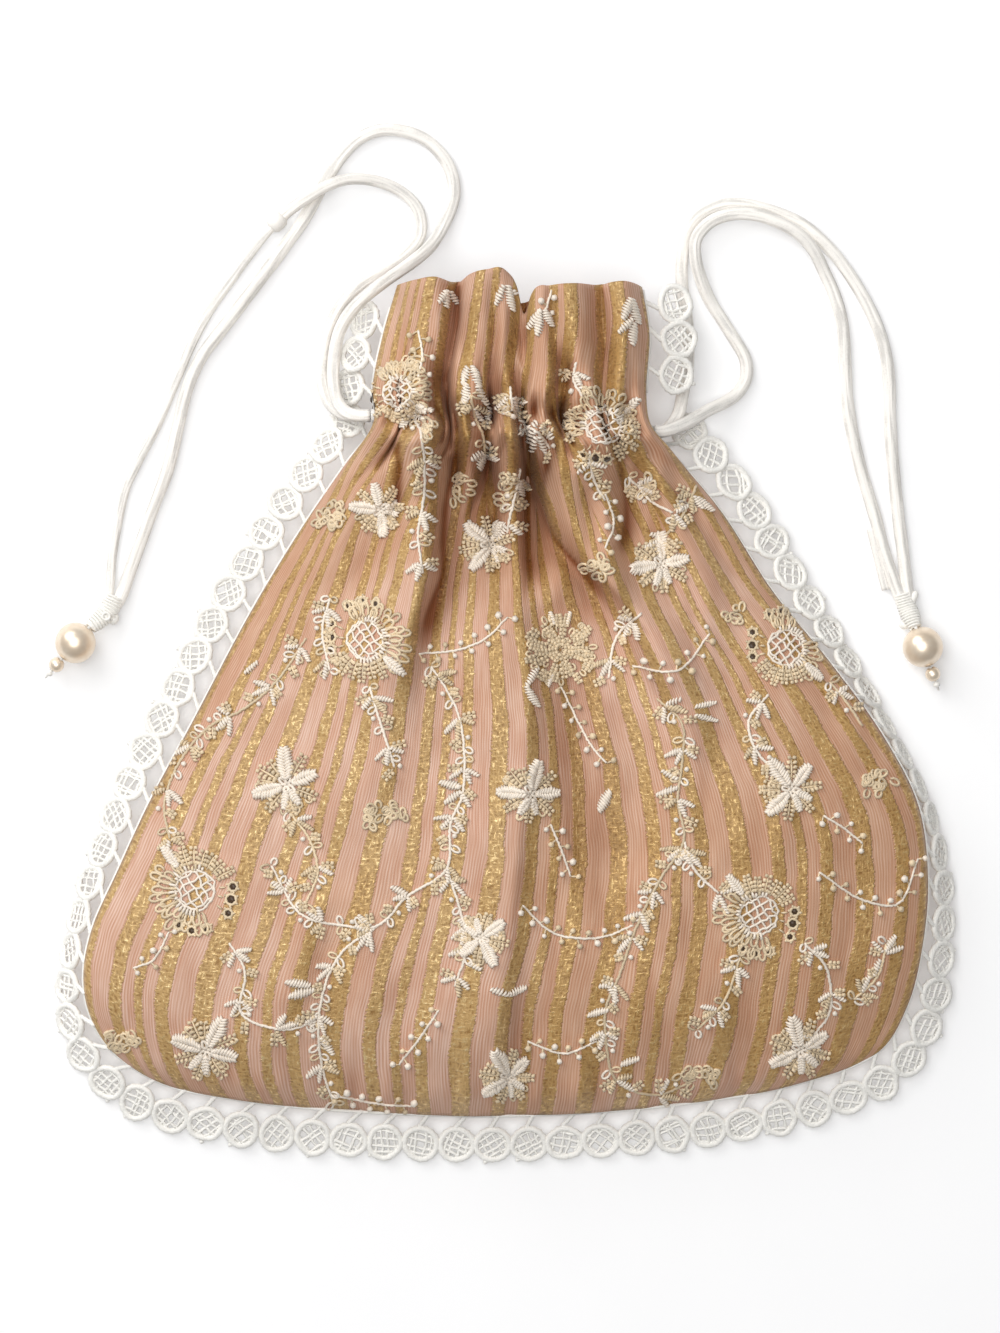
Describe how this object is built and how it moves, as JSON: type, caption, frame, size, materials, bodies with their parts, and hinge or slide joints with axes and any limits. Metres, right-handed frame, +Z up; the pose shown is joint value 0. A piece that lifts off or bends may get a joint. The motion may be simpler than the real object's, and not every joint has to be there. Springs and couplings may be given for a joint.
{
  "type": "drawstring pouch",
  "caption": "Drawstring pouch of striped embroidered cloth, gathered at the neck under a frilled mouth, with ring lace along its seams and corded drawstrings that end in pearls.",
  "frame": {"origin": "on the surface that the pouch lies on, under the middle of the pouch and its lace", "axes": "+Y towards the mouth, +X to the right as the front is seen, +Z up out of the embroidered front"},
  "size_m": [0.2289, 0.2613, 0.0315],
  "materials": {
    "striped_cloth": "striped tissue cloth with a metallic thread",
    "lace": "matt cotton thread",
    "cord": "satin rouleau cord",
    "pearl": "pearl gloss"
  },
  "bodies": {
    "root": {"front_panel": "striped_cloth", "back_panel": "striped_cloth", "lace_left": "lace", "lace_bottom": "lace", "lace_right": "lace", "lace_mouth_right": "lace", "left_cord_run": "cord", "left_cord_outer": "cord", "left_cord_inner": "cord", "left_cord_thin": "cord", "right_cord_run": "cord", "right_cord_inner": "cord", "right_cord_outer": "cord", "left_cord_knot": "cord", "left_end_wrap": "cord", "right_end_wrap": "cord", "left_bead_thread": "cord", "right_bead_thread": "cord", "left_pearl": "pearl", "right_pearl": "pearl", "left_seed_bead": "pearl", "right_seed_bead": "pearl"}
  },
  "joints": []
}
